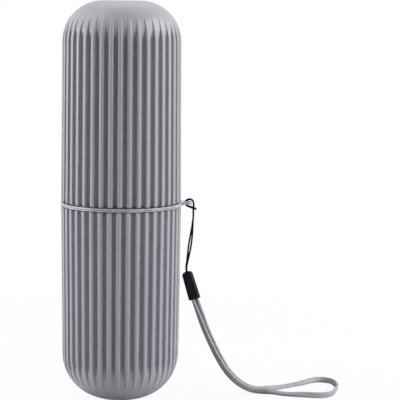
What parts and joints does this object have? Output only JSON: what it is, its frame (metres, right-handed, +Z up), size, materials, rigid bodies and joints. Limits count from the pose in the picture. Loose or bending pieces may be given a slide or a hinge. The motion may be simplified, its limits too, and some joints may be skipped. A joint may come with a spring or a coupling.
{
  "type": "toothbrush travel case",
  "caption": "Ribbed capsule-shaped travel case for a toothbrush, with a lift-off cover, a turning ring between its halves and a wrist lanyard.",
  "frame": {"origin": "centre of the flat base that the case stands on", "axes": "+Z up along the case's axis, +X towards the ear that holds the lanyard, -Y towards the viewer of the picture"},
  "size_m": [0.1433, 0.06, 0.1993],
  "materials": {
    "shell": "satin lilac-grey moulded plastic",
    "collar": "smooth grey moulded plastic",
    "ring": "smooth grey moulded plastic",
    "string": "black braided cord",
    "crimp": "black moulded plastic",
    "strap": "grey flat braid"
  },
  "bodies": {
    "case": {"lower_cup": "shell", "neck_collar": "collar"},
    "cover": {"upper_cup": "shell"},
    "lanyard": {"lanyard_ring": "ring", "lanyard_string": "string", "crimp_sleeve": "crimp", "wrist_strap": "strap"}
  },
  "joints": [
    {"name": "cover_lift", "type": "slide", "parent": "case", "child": "cover", "axis": [0, 0, 1], "range_m": [0, 0.024]},
    {"name": "ring_turn", "type": "hinge", "parent": "case", "child": "lanyard", "pos_m": [0, 0, 0.0988], "axis": [0, 0, 1], "continuous": true}
  ]
}
